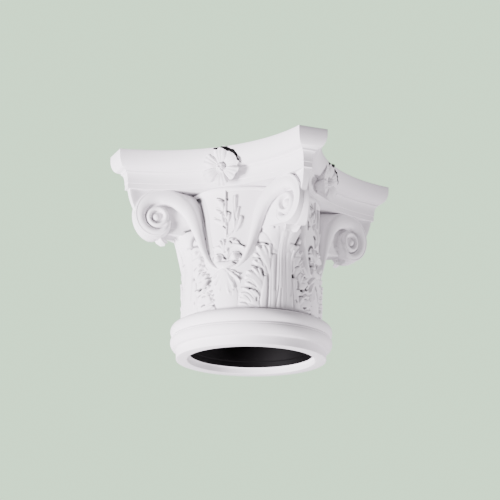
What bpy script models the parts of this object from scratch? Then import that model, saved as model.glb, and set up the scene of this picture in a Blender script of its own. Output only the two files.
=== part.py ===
# A Corinthian capital, cast in one piece and open below.
# A moulded ring at its foot sits on the end of a column. The bell above it carries four
# corner leaves, a low leaf on each side, eight scrolls on tall stems and an abacus with
# hollow sides, and a flower stands in the middle of each side.
# The origin is at the middle of the foot, +Z is up, and -Y is one of the four sides.

import math

import bmesh
import bpy
from mathutils import Matrix, Vector
from mathutils.geometry import interpolate_bezier

# Whole capital, in metres
HEIGHT = 0.343
SIDES = 4

# Hollow for the column, from its blind end down to its mouth
SOCKET_RADIUS = 0.103
ROOF_THICKNESS = 0.045
COLLAR_STEP = 0.004
COLLAR_HEIGHT = 0.010
MOUTH_STEP = 0.0035
MOUTH_HEIGHT = 0.011

# Bell behind the leaves
BELL_WALL = 0.014
LIP_PROUD = 0.0025
LIP_HEIGHT = 0.006
LIP_SLANT = 0.003

# Ring at the foot
FOOT_WALL = 0.0195
FOOT_HEIGHT = 0.015
RING_PROUD = 0.0105
RING_HEIGHT = 0.047
BEAD_HEIGHT = 0.028
GROOVE_DEPTH = 0.0025
GROOVE_WIDTH = 0.002
RING_UNDERCUT = 0.005

# Abacus: how far its top edge reaches, and how far its foot lies inside that
ABACUS_HEIGHT = 0.063
CORNER_REACH = 0.258
CORNER_SLOPE = 0.022
CORNER_CUT = 0.052
CORNER_CUT_BELOW = 0.016
SIDE_SLOPE = 0.026
ABACUS_LEDGE = 0.002

# Scrolls and their stems, on a wall that curves in like the side of the abacus
SCROLL_ALONG = 0.118
SCROLL_DROP = 0.0465
SCROLL_RADIUS = 0.050
SCROLL_TURNS = 1.0
SCROLL_FIRST_TURN = 0.31
SCROLL_TIGHTENING = 1.15
RIM_WIDTH = 0.020
RIM_PROUD = 0.004
CHANNEL_DEPTH = 0.009
EYE_RADIUS = 0.014
TIE_HEIGHT = 0.138
TIE_WIDTH = 0.032
TIE_TALL = 0.014
STEM_FOOT_ALONG = 0.006
STEM_WAIST_ALONG = 0.045
STEM_WIDTH = 0.020
STEM_FALL = 0.006
STEM_REACH = 0.030
WEB_HALF_WIDTH = 0.0067
WEB_SPREAD = 0.026
WEB_LENGTH = 0.080
WEB_HEIGHT = 0.036

# Leaves
LEAF_THICKNESS = 0.0065
CORNER_LEAF_HEIGHT = 0.154
CORNER_LEAF_SPREAD = math.radians(32)
LEAF_OVERHANG = 0.041
LOW_LEAF_HEIGHT = 0.075
LOW_LEAF_SPREAD = math.radians(14)

# Flower and the plant that climbs the bell to it
FLOWER_RADIUS = 0.036
FLOWER_DROP = 0.0365
FLOWER_PROUD = 0.016
FLOWER_LEAN = 0.12
PETALS = 6
PETAL_NOTCH = 0.84
BUTTON_RADIUS = 0.0085
BUD_RADIUS = 0.0095
STALK_WIDTH = 0.007
LEAFLET_WIDTH = 0.016
LEAFLET_PROUD = 0.007

# How far one shape sinks into the next where they join
SINK = 0.004

# Fineness of the round forms
ROUND_STEPS = 36
CURVE_STEPS = 3
SIDE_STEPS = 7
SCROLL_STEPS = 9

WHITE = (0.80, 0.79, 0.78, 1.0)
ROUGHNESS = 0.62

# Sizes that follow from those above
BELL_RADIUS = SOCKET_RADIUS + BELL_WALL
LIP_RADIUS = BELL_RADIUS + LIP_PROUD
COLLAR_RADIUS = SOCKET_RADIUS + COLLAR_STEP
MOUTH_RADIUS = COLLAR_RADIUS + MOUTH_STEP
FOOT_RADIUS = MOUTH_RADIUS + FOOT_WALL
RING_RADIUS = FOOT_RADIUS + RING_PROUD
RING_TOP = FOOT_HEIGHT + RING_HEIGHT
ABACUS_FOOT = HEIGHT - ABACUS_HEIGHT
SIDE_REACH = LIP_RADIUS + ABACUS_LEDGE + SIDE_SLOPE
SCROLL_HEIGHT = ABACUS_FOOT - SCROLL_DROP
QUARTER = 2 * math.pi / SIDES


def clear_scene():
    for thing in list(bpy.data.objects):
        bpy.data.objects.remove(thing, do_unlink=True)


def new_collection(name):
    group = bpy.data.collections.new(name)
    bpy.context.scene.collection.children.link(group)
    return group


def cast_white():
    material = bpy.data.materials.new("cast_white")
    material.use_nodes = True
    shader = material.node_tree.nodes["Principled BSDF"]
    shader.inputs["Base Color"].default_value = WHITE
    shader.inputs["Roughness"].default_value = ROUGHNESS
    shader.inputs["Metallic"].default_value = 0.0
    return material


# A new object from a bmesh, with its faces pointing out
def object_from(name, builder, group):
    bmesh.ops.recalc_face_normals(builder, faces=builder.faces)
    if builder.calc_volume(signed=True) < 0:
        bmesh.ops.reverse_faces(builder, faces=builder.faces)
    mesh = bpy.data.meshes.new(name)
    builder.to_mesh(mesh)
    builder.free()
    thing = bpy.data.objects.new(name, mesh)
    group.objects.link(thing)
    return thing


# A skin over closed outlines with the same number of points each, capped at both ends
def loft(name, outlines, group):
    builder = bmesh.new()
    rows = [[builder.verts.new(point) for point in outline] for outline in outlines]
    count = len(rows[0])
    for lower, upper in zip(rows, rows[1:]):
        for i in range(count):
            j = (i + 1) % count
            builder.faces.new((lower[i], lower[j], upper[j], upper[i]))
    caps = [builder.faces.new(rows[0]), builder.faces.new(rows[-1])]
    bmesh.ops.poke(builder, faces=caps)
    bmesh.ops.triangulate(builder, faces=builder.faces[:])
    return object_from(name, builder, group)


# A profile of (radius, height) points turned about the Z axis
def turned(name, profile, group):
    mesh = bpy.data.meshes.new(name)
    points = [(radius, 0.0, height) for radius, height in profile]
    mesh.from_pydata(points, [(i, i + 1) for i in range(len(points) - 1)], [])
    thing = bpy.data.objects.new(name, mesh)
    group.objects.link(thing)
    screw = thing.modifiers.new("Turn", "SCREW")
    screw.axis = "Z"
    screw.steps = ROUND_STEPS
    screw.render_steps = ROUND_STEPS
    screw.use_merge_vertices = True
    screw.merge_threshold = 0.0001
    return thing


def arc(middle, radius, start, end, steps):
    angles = [math.radians(start + (end - start) * i / steps) for i in range(steps + 1)]
    return [(middle[0] + radius * math.cos(a), middle[1] + radius * math.sin(a)) for a in angles]


def bezier(start, pull_out, pull_in, end, steps):
    corners = [Vector((x, y, 0)) for x, y in (start, pull_out, pull_in, end)]
    return [(point.x, point.y) for point in interpolate_bezier(*corners, steps + 1)]


# Bell and ring without their hollow, from the top down
def body(group):
    top = HEIGHT - ABACUS_HEIGHT / 2
    lip = ABACUS_FOOT - LIP_HEIGHT
    bead = BEAD_HEIGHT / 2
    groove = RING_TOP - BEAD_HEIGHT
    band_foot = FOOT_HEIGHT + MOUTH_STEP
    profile = [
        (0.0, top),
        (LIP_RADIUS, top),
        (LIP_RADIUS, lip),
        (BELL_RADIUS, lip - LIP_SLANT),
        (BELL_RADIUS, RING_TOP),
        *arc((RING_RADIUS - bead, RING_TOP - bead), bead, 80, -35, CURVE_STEPS),
        (RING_RADIUS - GROOVE_DEPTH, groove),
        (RING_RADIUS - GROOVE_DEPTH / 2, groove - GROOVE_WIDTH),
        (RING_RADIUS - GROOVE_DEPTH, (groove + band_foot) / 2),
        (RING_RADIUS - RING_UNDERCUT, band_foot),
        (FOOT_RADIUS, FOOT_HEIGHT),
        (FOOT_RADIUS, 0.0),
        (0.0, 0.0),
    ]
    return turned("capital", profile, group)


# The hollow: a blind socket, a collar step and a wider mouth
def hollow(group):
    collar_top = MOUTH_HEIGHT + COLLAR_HEIGHT
    profile = [
        (0.0, HEIGHT - ROOF_THICKNESS),
        (SOCKET_RADIUS, HEIGHT - ROOF_THICKNESS),
        (SOCKET_RADIUS, collar_top),
        (COLLAR_RADIUS, collar_top),
        (COLLAR_RADIUS, MOUTH_HEIGHT),
        (MOUTH_RADIUS, MOUTH_HEIGHT),
        (MOUTH_RADIUS, -MOUTH_HEIGHT),
        (0.0, -MOUTH_HEIGHT),
    ]
    return turned("hollow", profile, group)


# Corner, middle and bend of one abacus side; slope is 0 at its top edge and 1 at its foot
def abacus_side(slope):
    reach = CORNER_REACH - slope * CORNER_SLOPE
    cut = CORNER_CUT + slope * (CORNER_CUT_BELOW - CORNER_CUT)
    far = (reach * 2 + cut) / (2 * math.sqrt(2))
    near = (reach * 2 - cut) / (2 * math.sqrt(2))
    middle = SIDE_REACH - slope * SIDE_SLOPE
    sag = far - middle
    return near, middle, (near * near + sag * sag) / (2 * sag)


# Four hollow sides with the cut corners between them
def abacus_outline(slope, height):
    near, middle, bend = abacus_side(slope)
    half_angle = math.asin(near / bend)
    points = []
    for side in range(SIDES):
        turn = Matrix.Rotation(side * QUARTER, 3, "Z")
        for i in range(SIDE_STEPS + 1):
            a = half_angle * (2 * i / SIDE_STEPS - 1)
            y = -(middle + bend) + bend * math.cos(a)
            points.append(turn @ Vector((bend * math.sin(a), y, height)))
    return points


# Ovolo, fillet, cavetto and a plain edge, as shares of the slope and of the height
def abacus_profile():
    ovolo = [(0.62 * (1 - math.cos(a)), 0.90 - 0.40 * math.sin(a))
             for a in (math.radians(30 * i) for i in range(4))]
    cavetto = [(0.72 + 0.27 * math.sin(a), 0.14 + 0.30 * math.cos(a))
               for a in (math.radians(45 * i) for i in range(3))]
    return [(0.0, 1.0), *ovolo, (0.70, 0.495), *cavetto, (1.0, 0.0)]


def abacus(group):
    levels = [abacus_outline(slope, ABACUS_FOOT + share * ABACUS_HEIGHT)
              for slope, share in abacus_profile()]
    return loft("abacus", levels, group)


# A point on the scrolls' wall: along it from the middle of the side, up, and proud of it
def on_wall(along, height, proud):
    middle, bend = abacus_side(1.0)[1:]
    wall_middle = BELL_RADIUS - SINK / 4
    wall_bend = bend + middle - wall_middle
    angle = along / wall_bend
    radius = wall_bend - proud
    return Vector((radius * math.sin(angle), radius * math.cos(angle) - middle - bend, height))


# A point sunk into the wall, but never as far as the middle of the corner
def in_wall(along, height, depth, most=0.85):
    face = on_wall(along, height, 0.0)
    return on_wall(along, height, -min(depth, most * (-face.y - face.x) / math.sqrt(2)))


def across_corner(point):
    return Vector((-point.y, -point.x, point.z))


# The point moved towards the axis by the depth, but no further than just inside the bell
def towards_axis(point, depth):
    flat = Vector((point.x, point.y, 0)).length
    share = min(1.0, max((BELL_RADIUS - SINK) / flat, 1 - depth / flat))
    return Vector((point.x * share, point.y * share, point.z))


# Radius of the tightening scroll, so many turns after its top
def scroll_radius(turns):
    return SCROLL_RADIUS * math.exp(-SCROLL_FIRST_TURN * turns - SCROLL_TIGHTENING * turns ** 3)


def scroll_point(turns, radius):
    angle = math.pi / 2 - 2 * math.pi * turns
    return (SCROLL_ALONG + radius * math.cos(angle), SCROLL_HEIGHT + radius * math.sin(angle))


# Outer edge of the band, from the tie up the stem as two curves, then round the scroll
def scroll_line():
    foot = (STEM_FOOT_ALONG, TIE_HEIGHT)
    top = scroll_point(0, SCROLL_RADIUS)
    rise = top[1] - foot[1]
    waist = (STEM_WAIST_ALONG, foot[1] + rise * 0.50)
    lower = bezier(foot, (STEM_WAIST_ALONG * 0.70, foot[1]),
                   (STEM_WAIST_ALONG * 0.87, foot[1] + rise * 0.32), waist, CURVE_STEPS)
    upper = bezier(waist, (STEM_WAIST_ALONG * 1.10, foot[1] + rise * 0.70),
                   (STEM_WAIST_ALONG * 1.40, top[1]), top, CURVE_STEPS)
    count = round(SCROLL_STEPS * SCROLL_TURNS)
    turns = [SCROLL_TURNS * i / count for i in range(1, count + 1)]
    return lower + upper[1:] + [scroll_point(t, scroll_radius(t)) for t in turns]


# The band has a raised rim on its outer edge and a face that slopes away from it. Its
# stem reaches back into the bell, and its scroll into the solid corner
def scroll_band(name, group):
    line = scroll_line()
    stem_count = 2 * CURVE_STEPS + 1
    sections = []
    for i, place in enumerate(line):
        outer = Vector(place)
        forward = Vector(line[min(i + 1, len(line) - 1)]) - Vector(line[max(i - 1, 0)])
        inward = Vector((forward.y, -forward.x)).normalized()
        if i < stem_count - 1:
            width = STEM_WIDTH * min(1.0, 0.4 + 0.25 * i)
            fall, depth = STEM_FALL, STEM_REACH
        else:
            turns = (i + 1 - stem_count) / SCROLL_STEPS
            width = RIM_WIDTH * scroll_radius(turns) / SCROLL_RADIUS
            fall, depth = CHANNEL_DEPTH + SINK, 0.0
        crest = outer + inward * width / 2
        inner = outer + inward * width
        sections.append([
            towards_axis(in_wall(*outer, CHANNEL_DEPTH + SINK), depth),
            on_wall(*outer, RIM_PROUD),
            on_wall(*crest, RIM_PROUD),
            in_wall(*inner, fall),
            towards_axis(in_wall(*inner, CHANNEL_DEPTH + SINK * 2, 0.95), depth),
        ])
    return loft(name, sections, group)


# Solid corner between two scrolls, filled out to the stems; its edge is the plain strip
# that joins the scrolls
def scroll_corner(name, group):
    steps = SCROLL_STEPS
    turns = [-0.25 + i / steps for i in range(steps)]
    outline = [scroll_point(t, scroll_radius(max(t, 0)) - SINK / 2) for t in turns]
    outline.append((STEM_WAIST_ALONG + STEM_WIDTH / 2, SCROLL_HEIGHT - SCROLL_RADIUS * 0.7))
    face = [in_wall(along, height, CHANNEL_DEPTH, 0.6) for along, height in outline]
    return loft(name, [face, [across_corner(point) for point in face]], group)


# Web that fills the corner between the scrolls and the abacus, thin at its outer edge
def corner_web(name, group):
    outer = CORNER_REACH - CORNER_SLOPE - SINK
    inner = outer - WEB_LENGTH
    levels = ((ABACUS_FOOT + SINK, outer), (ABACUS_FOOT - WEB_HEIGHT / 3, outer - SINK * 2),
              (ABACUS_FOOT - WEB_HEIGHT, outer - SINK * 3))
    along = Vector((1, -1, 0)).normalized()
    aside = Vector((1, 1, 0)).normalized()
    sections = []
    for height, reach in levels:
        corners = ((inner, -WEB_SPREAD), (reach, -WEB_HALF_WIDTH), (reach, WEB_HALF_WIDTH),
                   (inner, WEB_SPREAD))
        up = Vector((0, 0, height))
        sections.append([along * r + aside * s + up for r, s in corners])
    return loft(name, sections, group)


# Round boss in the middle of the scroll
def scroll_eye(name, group):
    builder = bmesh.new()
    bmesh.ops.create_cone(builder, cap_ends=True, segments=8, radius1=EYE_RADIUS * 1.5,
                          radius2=EYE_RADIUS / 2, depth=CHANNEL_DEPTH * 2 + RIM_PROUD)
    middle = on_wall(SCROLL_ALONG, SCROLL_HEIGHT, -CHANNEL_DEPTH / 2)
    outward = on_wall(SCROLL_ALONG, SCROLL_HEIGHT, 1.0) - middle
    turn = outward.to_track_quat("Z", "Y").to_matrix().to_4x4()
    bmesh.ops.transform(builder, matrix=Matrix.Translation(middle) @ turn, verts=builder.verts)
    return object_from(name, builder, group)


# A point about the bell: angle from the front, radius and height
def on_bell(angle, radius, height):
    return Vector((radius * math.sin(angle), -radius * math.cos(angle), height))


# Ribs across a leaf, as shares of its half width and of its thickness
RIBS = ((-1.0, 0.75), (-0.50, 1.05), (-0.20, 0.60), (0.0, 1.2),
        (0.20, 0.60), (0.50, 1.05), (1.0, 0.75))

# Lobes of the leaves from foot to tip: height of the middle, half width, height of the two
# ends and how far the leaf stands out, as shares of its height, spread and overhang
CORNER_LEAF_ROWS = (
    (-0.02, 0.92, -0.02, 0.0),
    (0.17, 1.00, 0.30, 0.0),
    (0.24, 0.60, 0.27, 0.0),
    (0.32, 0.78, 0.51, 0.0),
    (0.40, 0.56, 0.48, 0.0),
    (0.46, 0.76, 0.60, 0.0),
    (0.53, 0.47, 0.60, 0.0),
    (0.62, 0.66, 0.77, 0.04),
    (0.74, 0.28, 0.79, 0.09),
    (0.88, 0.30, 0.88, 0.30),
    (0.985, 0.33, 0.97, 0.66),
    (0.95, 0.30, 0.92, 0.96),
    (0.87, 0.16, 0.86, 1.0),
)
LOW_LEAF_ROWS = (
    (-0.04, 1.00, -0.04, 0.0),
    (0.20, 0.80, 0.34, 0.0),
    (0.34, 0.62, 0.42, 0.0),
    (0.46, 0.95, 0.70, 0.05),
    (0.68, 0.58, 0.74, 0.06),
    (0.97, 0.36, 0.95, 0.16),
)


# A ribbed, lobed leaf that climbs the bell and may curl out at its tip. Its back reaches
# the bell until the leaf stands well clear of it
def leaf(name, rows, middle_angle, height, spread, group):
    spine = [Vector((BELL_RADIUS - SINK / 4 + LEAF_OVERHANG * out, RING_TOP + height * mid))
             for mid, half, ends, out in rows]
    sections = []
    for i, (mid, half, ends, out) in enumerate(rows):
        along = (spine[min(i + 1, len(rows) - 1)] - spine[max(i - 1, 0)]).normalized()
        proud = Vector((along.y, -along.x))

        def place(share, lift):
            point = spine[i] + proud * lift
            rise = height * (ends - mid) * share * share
            return on_bell(middle_angle + share * half * spread, point.x, point.y + rise)

        stands = LEAF_OVERHANG * out
        root = -SINK - stands if stands < LEAF_THICKNESS + SINK else -SINK
        front = [place(share, LEAF_THICKNESS * relief) for share, relief in RIBS]
        back = [place(share, root) for share in (1.0, 0.0, -1.0)]
        sections.append(front + back)
    return loft(name, sections, group)


# A small pointed leaf on the bell, from its stalk to its tip, in degrees and height
def leaflet(name, start, tip, width, proud, group):
    sections = []
    for share, wide, relief in ((0.0, 0.45, 0.6), (0.55, 1.0, 1.0), (1.0, 0.25, 0.6)):
        angle = math.radians(start[0] + (tip[0] - start[0]) * share)
        height = start[1] + (tip[1] - start[1]) * share
        aside = wide * width / 2 / BELL_RADIUS
        edge = BELL_RADIUS + proud * 0.3
        sections.append([
            on_bell(angle - aside, edge, height),
            on_bell(angle, BELL_RADIUS + proud * relief, height),
            on_bell(angle + aside, edge, height),
            on_bell(angle, BELL_RADIUS - SINK, height),
        ])
    return loft(name, sections, group)


def bud(name, side, height, group):
    builder = bmesh.new()
    bmesh.ops.create_icosphere(builder, subdivisions=1, radius=BUD_RADIUS)
    place = on_bell(side * math.radians(7.5), BELL_RADIUS, height)
    bmesh.ops.translate(builder, vec=place, verts=builder.verts)
    return object_from(name, builder, group)


# Stalk, buds and leaflets between the two stems of a side
def plant(group):
    rise = ABACUS_FOOT - TIE_HEIGHT

    def up(share):
        return TIE_HEIGHT + rise * share

    leaflet("stalk", (0, up(0.0)), (0, up(1.0) + ABACUS_HEIGHT / 2), STALK_WIDTH,
            LEAFLET_PROUD, group)
    for side, word in ((-1, "left"), (1, "right")):
        bud(f"bud_{word}", side, up(0.13), group)
        leaflet(f"low_leaflet_{word}", (2 * side, up(0.14)), (14 * side, up(0.28)),
                LEAFLET_WIDTH, LEAFLET_PROUD, group)
        leaflet(f"tall_leaflet_{word}", (2 * side, up(0.44)), (7 * side, up(0.87)),
                LEAFLET_WIDTH * 0.6, LEAFLET_PROUD, group)


# The knot that ties the feet of the two stems together
def tie(group):
    inside = BELL_RADIUS - SINK
    outside = BELL_RADIUS + RIM_PROUD
    sections = []
    for share in (-1.0, -0.5, 0.5, 1.0):
        tall = TIE_TALL / 2 * (1.0 - 0.5 * abs(share))
        angle = share * TIE_WIDTH / 2 / outside
        sections.append([
            on_bell(angle, inside, TIE_HEIGHT + tall),
            on_bell(angle, outside, TIE_HEIGHT + tall * 0.6),
            on_bell(angle, outside, TIE_HEIGHT - tall * 0.6),
            on_bell(angle, inside, TIE_HEIGHT - tall),
        ])
    return loft("tie", sections, group)


# Broad notched petals that lean out over the side of the abacus
def petals(group):
    middle = HEIGHT - FLOWER_DROP
    base = SIDE_REACH - SIDE_SLOPE / 2
    spokes = PETALS * 3

    def ring(share, notch, proud, dip):
        points = []
        for i in range(spokes):
            between = i % 3 == 0
            angle = 2 * math.pi * (i - 0.5) / spokes
            radius = FLOWER_RADIUS * share * (notch if between else 1.0)
            up = radius * math.cos(angle)
            reach = base + proud * (dip if between else 1.0) + FLOWER_LEAN * up
            points.append((radius * math.sin(angle), -reach, middle + up))
        return points

    rings = (
        ring(0.30, 1.0, FLOWER_PROUD * 0.75, 1.0),
        ring(1.0, PETAL_NOTCH, FLOWER_PROUD * 0.80, 0.72),
        ring(0.90, PETAL_NOTCH, -FLOWER_PROUD * 0.75, 1.0),
    )
    return loft("petals", rings, group)


def flower_button(group):
    builder = bmesh.new()
    bmesh.ops.create_cone(builder, cap_ends=True, segments=8, radius1=BUTTON_RADIUS,
                          radius2=BUTTON_RADIUS * 0.6, depth=FLOWER_PROUD)
    out = SIDE_REACH - SIDE_SLOPE / 2 + FLOWER_PROUD / 3
    place = Matrix.Translation((0, -out, HEIGHT - FLOWER_DROP))
    turn = Matrix.Rotation(math.pi / 2, 4, "X")
    bmesh.ops.transform(builder, matrix=place @ turn, verts=builder.verts)
    return object_from("button", builder, group)


# Everything on one side of the capital and on the corner at its right
def carve_one_side(group):
    leaf("corner_leaf", CORNER_LEAF_ROWS, QUARTER / 2, CORNER_LEAF_HEIGHT,
         CORNER_LEAF_SPREAD, group)
    leaf("low_leaf", LOW_LEAF_ROWS, 0.0, LOW_LEAF_HEIGHT, LOW_LEAF_SPREAD, group)
    scroll_corner("scroll_corner", group)
    corner_web("corner_web", group)
    for word in ("right", "left"):
        pair = (scroll_band(f"scroll_band_{word}", group), scroll_eye(f"scroll_eye_{word}", group))
        if word == "left":
            for piece in pair:
                piece.data.transform(Matrix.Scale(-1, 4, (1, 0, 0)))
                piece.data.flip_normals()
    plant(group)
    tie(group)
    petals(group)
    flower_button(group)


# The same carving on the other sides
def repeat_round(group):
    for thing in list(group.objects):
        for side in range(1, SIDES):
            other = thing.copy()
            other.data = thing.data.copy()
            other.data.transform(Matrix.Rotation(side * QUARTER, 4, "Z"))
            group.objects.link(other)


def hide_guides(group):
    for thing in group.objects:
        thing.hide_render = True
        thing.display_type = "WIRE"


# All carving joined to the body, then the hollow cut out of the whole
def join_and_hollow(capital, carving, cutter):
    join = capital.modifiers.new("Join the carving", "BOOLEAN")
    join.operation = "UNION"
    join.solver = "EXACT"
    join.operand_type = "COLLECTION"
    join.collection = carving
    cut = capital.modifiers.new("Cut the hollow", "BOOLEAN")
    cut.operation = "DIFFERENCE"
    cut.solver = "EXACT"
    cut.object = cutter


# The joins leave crumbs and split flat faces, which are merged again
def clean_up(capital):
    weld = capital.modifiers.new("Merge crumbs", "WELD")
    weld.merge_threshold = 0.0001
    flat = capital.modifiers.new("Merge flat faces", "DECIMATE")
    flat.decimate_type = "DISSOLVE"
    flat.angle_limit = math.radians(3)


def build_capital():
    clear_scene()
    parts = new_collection("corinthian_capital")
    carving = new_collection("carving")
    cutters = new_collection("cutters")
    capital = body(parts)
    capital.data.materials.append(cast_white())
    carve_one_side(carving)
    repeat_round(carving)
    abacus(carving)
    cutter = hollow(cutters)
    hide_guides(carving)
    hide_guides(cutters)
    join_and_hollow(capital, carving, cutter)
    clean_up(capital)


build_capital()
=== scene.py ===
# %% [markdown]
# A Corinthian capital is the carved head of a column. This one is a single white casting:
# a moulded ring at the foot, a round bell covered with acanthus leaves, eight scrolls on
# tall stems, and a moulded slab with four hollow sides, the abacus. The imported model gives
# its true outline. This lesson dresses it with the carving, piece by piece, in metres.

import math

import bmesh
import bpy
import numpy as np
from mathutils import Matrix, Vector
from mathutils.geometry import interpolate_bezier


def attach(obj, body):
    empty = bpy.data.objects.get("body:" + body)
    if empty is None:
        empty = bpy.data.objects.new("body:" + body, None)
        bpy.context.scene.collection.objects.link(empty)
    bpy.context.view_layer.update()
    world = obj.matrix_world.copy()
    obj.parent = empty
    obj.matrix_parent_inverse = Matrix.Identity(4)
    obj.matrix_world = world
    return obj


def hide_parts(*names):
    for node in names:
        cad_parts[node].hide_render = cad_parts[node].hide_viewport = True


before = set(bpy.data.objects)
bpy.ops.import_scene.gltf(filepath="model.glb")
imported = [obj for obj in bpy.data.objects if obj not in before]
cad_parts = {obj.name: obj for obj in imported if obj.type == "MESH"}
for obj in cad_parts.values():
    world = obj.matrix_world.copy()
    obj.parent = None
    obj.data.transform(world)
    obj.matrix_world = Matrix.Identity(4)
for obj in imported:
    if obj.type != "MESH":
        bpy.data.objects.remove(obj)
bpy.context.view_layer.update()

# %% [markdown]
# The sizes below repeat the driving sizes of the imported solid, so that every carved piece
# sits on the same bell, ring and abacus. -Y is the middle of one side; the corners of the
# abacus lie between the sides. Angles round the bell are in degrees from the front, and
# heights in millimetres, because carving is easiest to read as a flat drawing.

# %% Sizes shared by the pieces
SIDES = 4
HEIGHT = 0.343
BELL = 0.117
LIP = 0.1195
ABACUS_FOOT = 0.280
SIDE_REACH = 0.1475
MM = 0.001


def quarter_turn(side):
    return Matrix.Rotation(side * math.pi / 2, 4, "Z")


print("abacus", round(HEIGHT - ABACUS_FOOT, 3), "high on a bell", BELL * 2, "wide")

# %% [markdown]
# Most mouldings are drawn out: a ring of points is placed at the first outline, extruded
# and moved to the next one, again and again, as one would by hand with the extrude key.
# One helper does it for every such piece, and closes both ends.

# %% A helper that draws a shape out through outlines
# Size of a primitive before its points are put in their places
SEED = 0.01


def deselect_everything():
    bpy.ops.object.select_all(action="DESELECT")


def drawn_out(name, outlines):
    deselect_everything()
    count = len(outlines[0])
    bpy.ops.mesh.primitive_circle_add(vertices=count, radius=SEED, fill_type="NGON")
    piece = bpy.context.active_object
    piece.name = piece.data.name = name
    bpy.ops.object.mode_set(mode="EDIT")
    bpy.ops.mesh.select_mode(type="VERT")
    bpy.ops.mesh.select_all(action="SELECT")
    for i, outline in enumerate(outlines):
        if i > 0:
            bpy.ops.mesh.extrude_region_move()
        mesh = bmesh.from_edit_mesh(piece.data)
        moved = [vertex for vertex in mesh.verts if vertex.select]
        for vertex, point in zip(moved, outline):
            vertex.co = point
    bmesh.update_edit_mesh(piece.data)
    bpy.ops.mesh.select_all(action="SELECT")
    bpy.ops.mesh.normals_make_consistent(inside=False)
    bpy.ops.object.mode_set(mode="OBJECT")
    return piece


print("ready to draw out")

# %% [markdown]
# The four sides are alike, so a piece is made once, at the front, and copied by quarter
# turns. Each copy has its own mesh, and the turn goes into that mesh, so that the object
# stays unturned at the origin. A left-hand piece is the mirror image of a right-hand one.
# A mirror turns faces inwards, so they are flipped back.

# %% Helpers that smooth, copy and mirror a piece
pieces = []


def smooth(piece, degrees):
    deselect_everything()
    piece.select_set(True)
    bpy.context.view_layer.objects.active = piece
    bpy.ops.object.shade_smooth_by_angle(angle=math.radians(degrees))


def copied(piece, name, change):
    copy = piece.copy()
    copy.data = piece.data.copy()
    copy.name = copy.data.name = name
    copy.data.transform(change)
    bpy.context.scene.collection.objects.link(copy)
    return copy


def on_every_side(piece):
    for side in range(1, SIDES):
        pieces.append(copied(piece, f"{piece.name}_{side + 1}", quarter_turn(side)))
    piece.name = piece.data.name = f"{piece.name}_1"
    pieces.append(piece)


def left_hand(piece):
    mirrored = copied(piece, piece.name.replace("_right", "_left"),
                      Matrix.Scale(-1, 4, (1, 0, 0)))
    mirrored.data.flip_normals()
    return mirrored


def repeated(piece, degrees):
    smooth(piece, degrees)
    if piece.name.endswith("_right"):
        on_every_side(left_hand(piece))
    on_every_side(piece)


print("ready to copy")

# %% [markdown]
# The foot ring, the bell and the blind socket are one turned surface. On the lathe a
# profile is held against the turning piece, so here the profile is drawn once and spun.
# The ring has a plain fillet, a hollow step, a big half-round and a thin line between.
# The bell ends in a small lip, and a narrower neck goes on up into the abacus, which
# leaves a thin dark groove under it.

# %% Turn the bell, the ring and the socket
LATHE_STEPS = 240
SEAM = 0.00002


def arc(middle, radius, start, end, steps):
    angles = np.radians(np.linspace(start, end, steps + 1))
    return [(middle[0] + radius * math.cos(a), middle[1] + radius * math.sin(a))
            for a in angles]


def spun(name, profile):
    deselect_everything()
    bpy.ops.mesh.primitive_plane_add(size=SEED)
    piece = bpy.context.active_object
    piece.name = piece.data.name = name
    bpy.ops.object.mode_set(mode="EDIT")
    bpy.ops.mesh.select_all(action="SELECT")
    bpy.ops.mesh.merge(type="CENTER")
    mesh = bmesh.from_edit_mesh(piece.data)
    mesh.verts.ensure_lookup_table()
    mesh.verts[0].co = (profile[0][0], 0, profile[0][1])
    for before, after in zip(profile, profile[1:]):
        step = (after[0] - before[0], 0, after[1] - before[1])
        bpy.ops.mesh.extrude_vertices_move(TRANSFORM_OT_translate={"value": step})
    bpy.ops.mesh.select_all(action="SELECT")
    bpy.ops.mesh.spin(steps=LATHE_STEPS, angle=2 * math.pi, center=(0, 0, 0),
                      axis=(0, 0, 1))
    bpy.ops.mesh.select_all(action="SELECT")
    bpy.ops.mesh.remove_doubles(threshold=SEAM)
    bpy.ops.mesh.normals_make_consistent(inside=False)
    bpy.ops.object.mode_set(mode="OBJECT")
    return piece


# Each point of the profile: distance from the axis and height
BORE = [(0, 0.298), (0.100, 0.298), (0.103, 0.295), (0.103, 0.0215), (0.1035, 0.021),
        (0.1067, 0.021), (0.107, 0.0207), (0.107, 0.0113), (0.1073, 0.011),
        (0.1102, 0.011), (0.1105, 0.0107), (0.1105, 0.0008), (0.1112, 0)]
FOOT = [(0.1290, 0), *arc((0.1290, 0.001), 0.001, -60, 0, 3), (0.1300, 0.0145),
        (0.1303, 0.0155), (0.1322, 0.0166), (0.1352, 0.0172), (0.1362, 0.0180),
        *arc((0.1250, 0.0290), 0.0155, -38, 15, 10)]
BEAD = [(0.1392, 0.0338), (0.1387, 0.0342), (0.1387, 0.0350), (0.1393, 0.0353),
        *arc((0.1265, 0.0480), 0.0140, -42, 92, 22)]
BELL_SIDE = [(0.1215, 0.0620), (0.1190, 0.0612), (BELL, 0.0620), (BELL, 0.2700),
             (0.1175, 0.2715), (0.1186, 0.2730), (LIP, 0.2742), (LIP, 0.2770),
             (0.1155, 0.2776), (0.1155, 0.3000), (0, 0.3000)]
profile = BORE + FOOT + BEAD + BELL_SIDE
bell = spun("bell_and_ring", profile)
pieces.append(bell)
print("turned", len(profile), "profile points,", [round(v, 4) for v in bell.dimensions])

# %% [markdown]
# The abacus is the slab on top. Each of its four sides curves inwards, and its corners
# are cut off. From the top down its edge is a quarter-round, a small step, a cove and a
# plain band. Each outline of that edge is the same plan moved in a little, so the
# moulding is drawn out through its outlines from the foot to the top. It starts with a
# round recess in the foot, which leaves the socket open up to its roof.

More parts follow.
